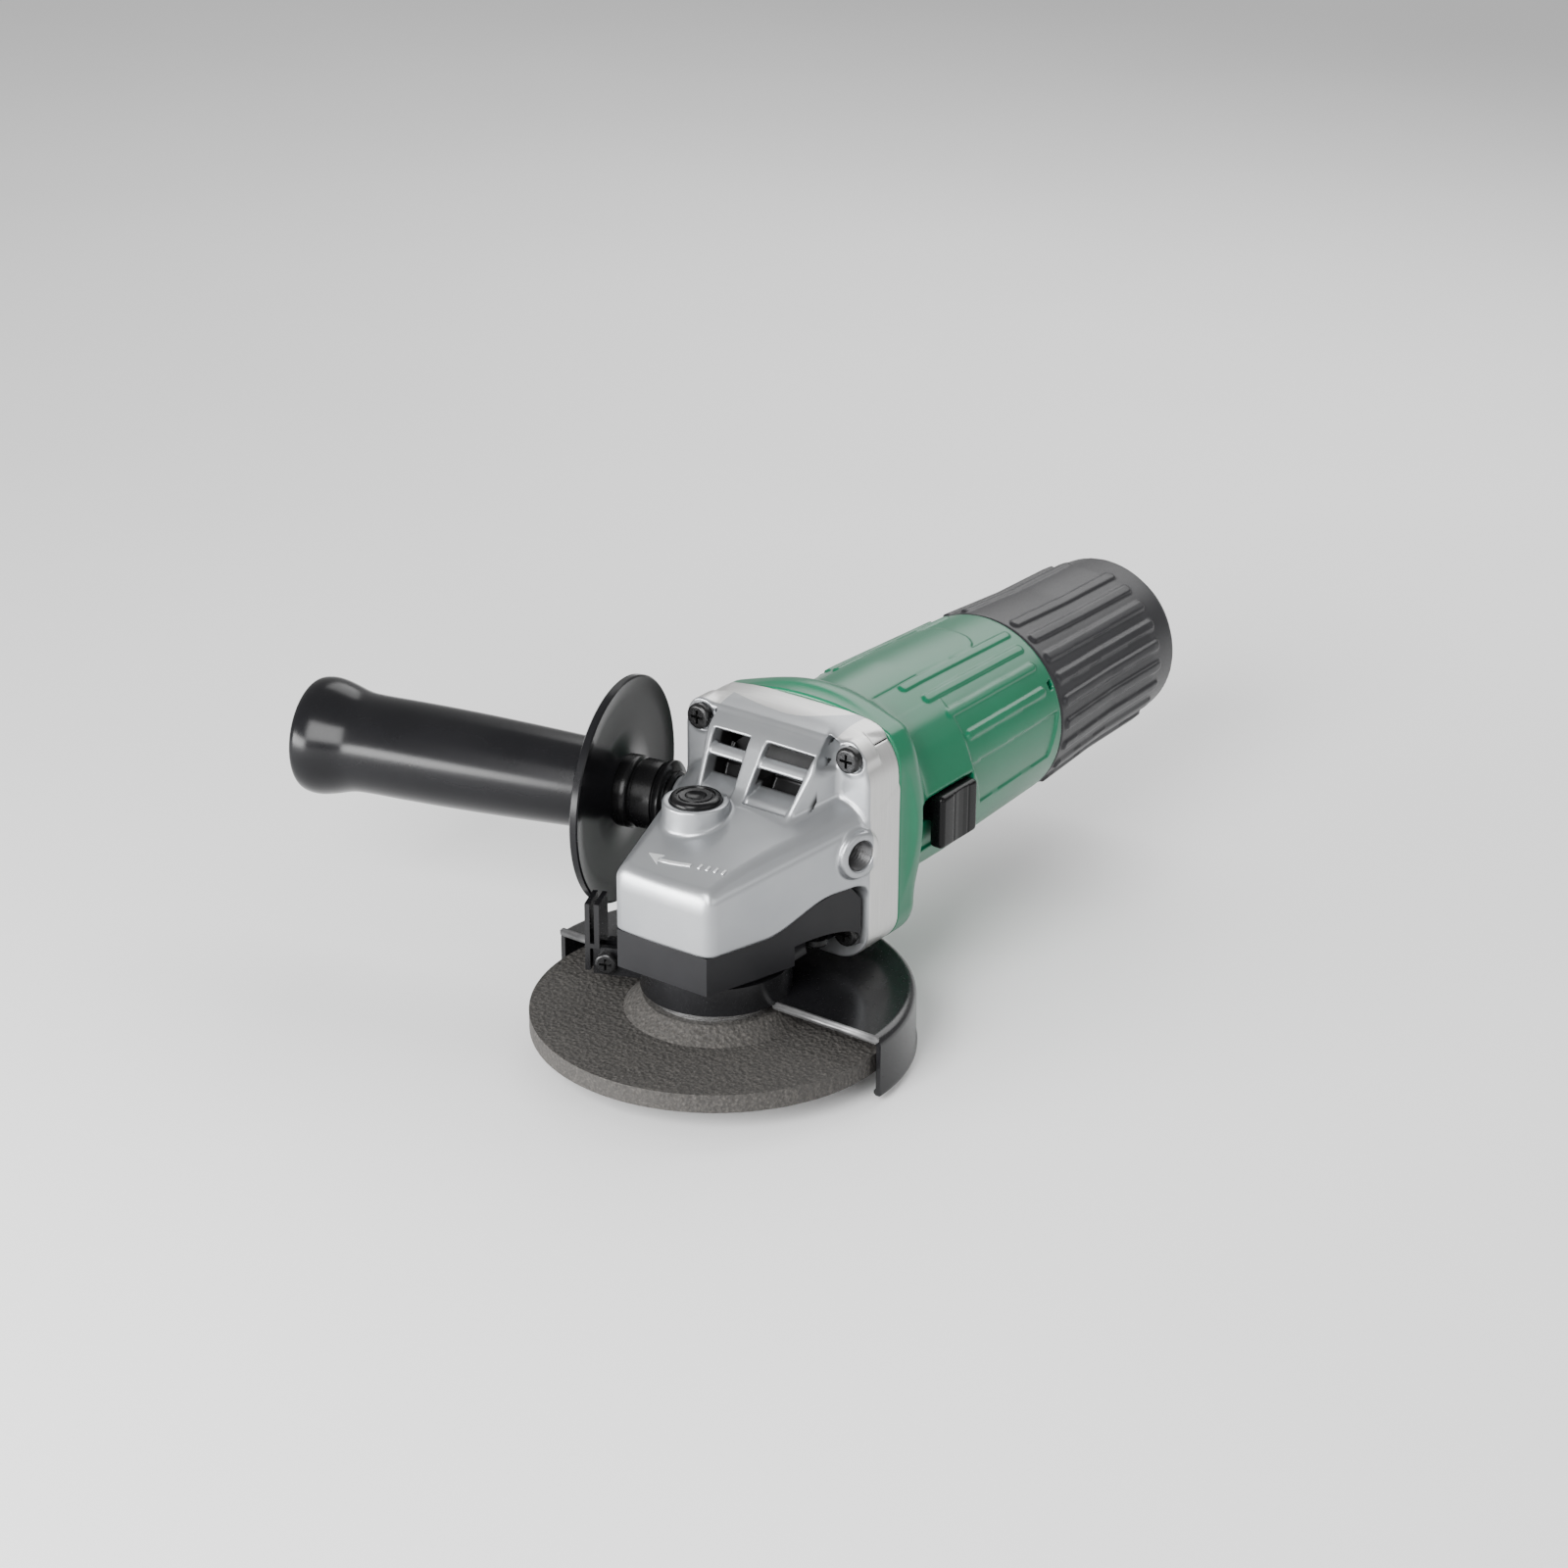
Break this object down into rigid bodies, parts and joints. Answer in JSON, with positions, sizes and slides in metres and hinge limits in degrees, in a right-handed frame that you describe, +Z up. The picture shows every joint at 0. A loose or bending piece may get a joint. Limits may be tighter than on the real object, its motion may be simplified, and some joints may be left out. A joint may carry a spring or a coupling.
{
  "type": "angle grinder",
  "caption": "Compact corded angle grinder: cast gear head, green motor barrel, ribbed dark tail, side handle, swivelling half guard and a depressed-centre grinding wheel.",
  "frame": {"origin": "on the spindle axis, in the middle of the spindle's free threaded end below the clamp nut", "axes": "+Z up along the spindle, +X towards the tail along the motor axis, +Y towards the side handle"},
  "size_m": [0.2865, 0.2256, 0.1005],
  "materials": {
    "cast_aluminium": "satin cast, polished at the rim",
    "holder_paint": "dark grey paint",
    "black_screw": "black oxide",
    "guard_paint": "black paint",
    "steel": "turned steel",
    "abrasive": "resin-bonded grit",
    "gear_steel": "hardened steel",
    "bearing_steel": "ground steel",
    "bronze": "sintered bronze",
    "spring_steel": "drawn wire",
    "core_steel": "laminated steel",
    "copper": "enamelled copper",
    "fan_plastic": "glass-filled nylon",
    "brass": "pressed brass",
    "carbon": "graphite",
    "green_plastic": "glossy green nylon",
    "tail_plastic": "dark grey nylon",
    "black_plastic": "satin black",
    "handle_plastic": "satin black nylon"
  },
  "bodies": {
    "housing": {"gear_case": "cast_aluminium", "gear_case_screws": "black_screw", "bearing_holder": "holder_paint", "holder_screws": "black_screw", "top_bush": "bronze", "spindle_bearing_outer_race": "bearing_steel", "front_bearing_outer_race": "bearing_steel", "rear_bearing_outer_race": "bearing_steel", "stator_core": "core_steel", "field_coils": "copper", "brush_holders": "brass", "carbon_brushes": "carbon", "brush_springs": "spring_steel", "motor_housing": "green_plastic", "air_guide": "fan_plastic", "tail_cover": "tail_plastic", "switch_module": "black_plastic", "capacitor": "black_plastic", "cord_clamp": "steel", "clamp_screws": "black_screw", "handle_stud": "steel", "handle_collar": "black_plastic", "handle_disc": "handle_plastic", "handle_grip": "handle_plastic", "lock_spring": "spring_steel"},
    "spindle": {"spindle": "steel", "gear_snap_ring": "steel", "inner_flange": "steel", "grinding_wheel": "abrasive", "clamp_nut": "steel", "spindle_bearing_inner_race": "bearing_steel", "spindle_bearing_balls": "bearing_steel", "crown_gear": "gear_steel"},
    "armature": {"pinion": "gear_steel", "pinion_nut": "steel", "armature_shaft": "steel", "armature_core": "core_steel", "armature_front_windings": "copper", "armature_rear_windings": "copper", "commutator": "copper", "cooling_fan": "fan_plastic", "front_bearing_inner_race": "bearing_steel", "front_bearing_balls": "bearing_steel", "rear_bearing_inner_race": "bearing_steel", "rear_bearing_balls": "bearing_steel"},
    "lock_button": {"lock_button": "black_plastic", "lock_pin": "steel"},
    "slide_switch": {"slide_knob": "black_plastic", "switch_link": "black_plastic"},
    "guard": {"wheel_guard": "guard_paint", "guard_band": "guard_paint", "band_screw": "black_screw", "band_nut": "black_screw", "clamp_lever": "guard_paint"}
  },
  "joints": [
    {"name": "spindle_spin", "type": "hinge", "parent": "housing", "child": "spindle", "pos_m": [0, 0, 0], "axis": [0, 0, 1], "continuous": true},
    {"name": "armature_spin", "type": "hinge", "parent": "housing", "child": "armature", "pos_m": [0, 0, 0.0607], "axis": [1, 0, 0], "continuous": true},
    {"name": "lock_press", "type": "slide", "parent": "housing", "child": "lock_button", "axis": [0, 0, -1], "range_m": [0, 0.004], "stiffness_N_per_m": 400, "springref_m": -0.003, "deforming": ["lock_spring"]},
    {"name": "switch_slide", "type": "slide", "parent": "housing", "child": "slide_switch", "axis": [-1, 0, 0], "range_m": [0, 0.008]},
    {"name": "guard_swivel", "type": "hinge", "parent": "housing", "child": "guard", "pos_m": [0, 0, 0], "axis": [0, 0, 1], "range_deg": [-40, 90]}
  ],
  "couplings": [
    {"joint": "armature_spin", "follows": "spindle_spin", "ratio": 3}
  ]
}
